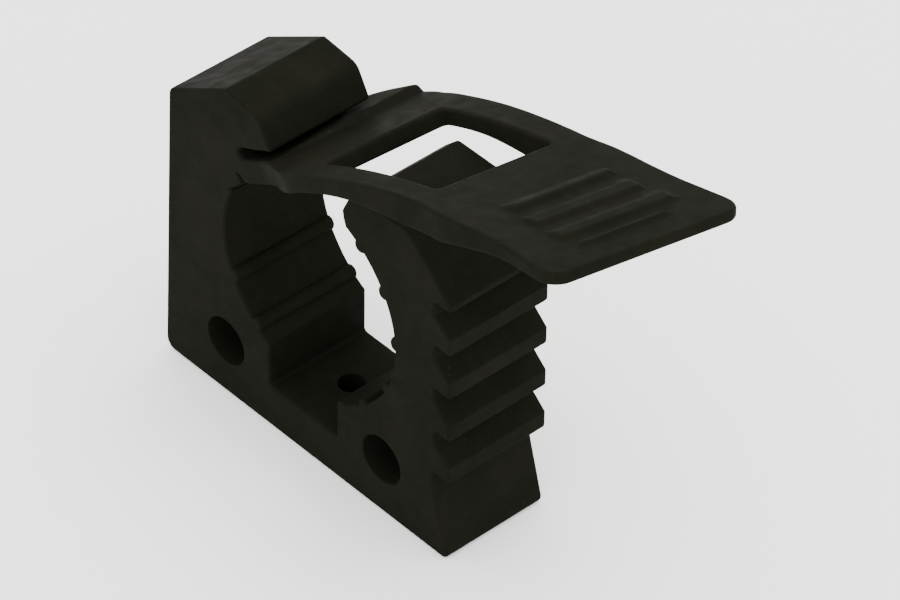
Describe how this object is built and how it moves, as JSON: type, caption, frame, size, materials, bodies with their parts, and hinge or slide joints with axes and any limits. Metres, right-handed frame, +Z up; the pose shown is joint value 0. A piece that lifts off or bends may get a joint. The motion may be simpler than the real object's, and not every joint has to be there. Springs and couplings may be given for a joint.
{
  "type": "rubber strap clamp",
  "caption": "U-shaped moulded rubber clamp for tool handles: a windowed strap arches from one post over the other, toothed post, and ends in a ribbed pull tab.",
  "frame": {"origin": "where the axis of the mounting bolt's hole meets the flat underside", "axes": "+Z up from the underside, +X from the head post that carries the strap to the toothed latch post, +Y through the grip cavity"},
  "size_m": [0.1442, 0.0548, 0.1192],
  "materials": {
    "black_rubber": "satin moulded rubber, very dark olive black"
  },
  "bodies": {
    "foot": {"base_block": "black_rubber", "head_flex_web": "black_rubber", "latch_flex_web": "black_rubber"},
    "head": {"head_post": "black_rubber", "strap_root": "black_rubber", "strap_hinge_web": "black_rubber"},
    "latch": {"latch_post": "black_rubber"},
    "strap_inner": {"strap_crossbar": "black_rubber", "rail_inner_near": "black_rubber", "rail_inner_far": "black_rubber", "rail_flex_web_near": "black_rubber", "rail_flex_web_far": "black_rubber"},
    "strap_outer": {"rail_outer_near": "black_rubber", "rail_outer_far": "black_rubber", "hook_bar": "black_rubber", "tab_flex_web": "black_rubber"},
    "tab": {"pull_tab": "black_rubber"}
  },
  "joints": [
    {"name": "head_flex", "type": "hinge", "parent": "foot", "child": "head", "pos_m": [-0.03411, 0, 0.03365], "axis": [0, -1, 0], "range_deg": [0, 8], "stiffness_Nm_per_rad": 3, "deforming": ["head_flex_web"]},
    {"name": "latch_flex", "type": "hinge", "parent": "foot", "child": "latch", "pos_m": [0.03448, 0, 0.03365], "axis": [0, 1, 0], "range_deg": [0, 12], "stiffness_Nm_per_rad": 2, "deforming": ["latch_flex_web"]},
    {"name": "strap_hinge", "type": "hinge", "parent": "head", "child": "strap_inner", "pos_m": [-0.00514, 0, 0.07835], "axis": [0, -1, 0], "range_deg": [-20, 75], "stiffness_Nm_per_rad": 0.5, "deforming": ["strap_hinge_web"]},
    {"name": "strap_bend", "type": "hinge", "parent": "strap_inner", "child": "strap_outer", "pos_m": [0.0278, 0, 0.09514], "axis": [0, -1, 0], "range_deg": [-7, 25], "stiffness_Nm_per_rad": 0.3, "deforming": ["rail_flex_web_near", "rail_flex_web_far"]},
    {"name": "tab_flex", "type": "hinge", "parent": "strap_outer", "child": "tab", "pos_m": [0.05674, 0, 0.10366], "axis": [0, -1, 0], "range_deg": [-40, 40], "stiffness_Nm_per_rad": 0.2, "deforming": ["tab_flex_web"]}
  ]
}
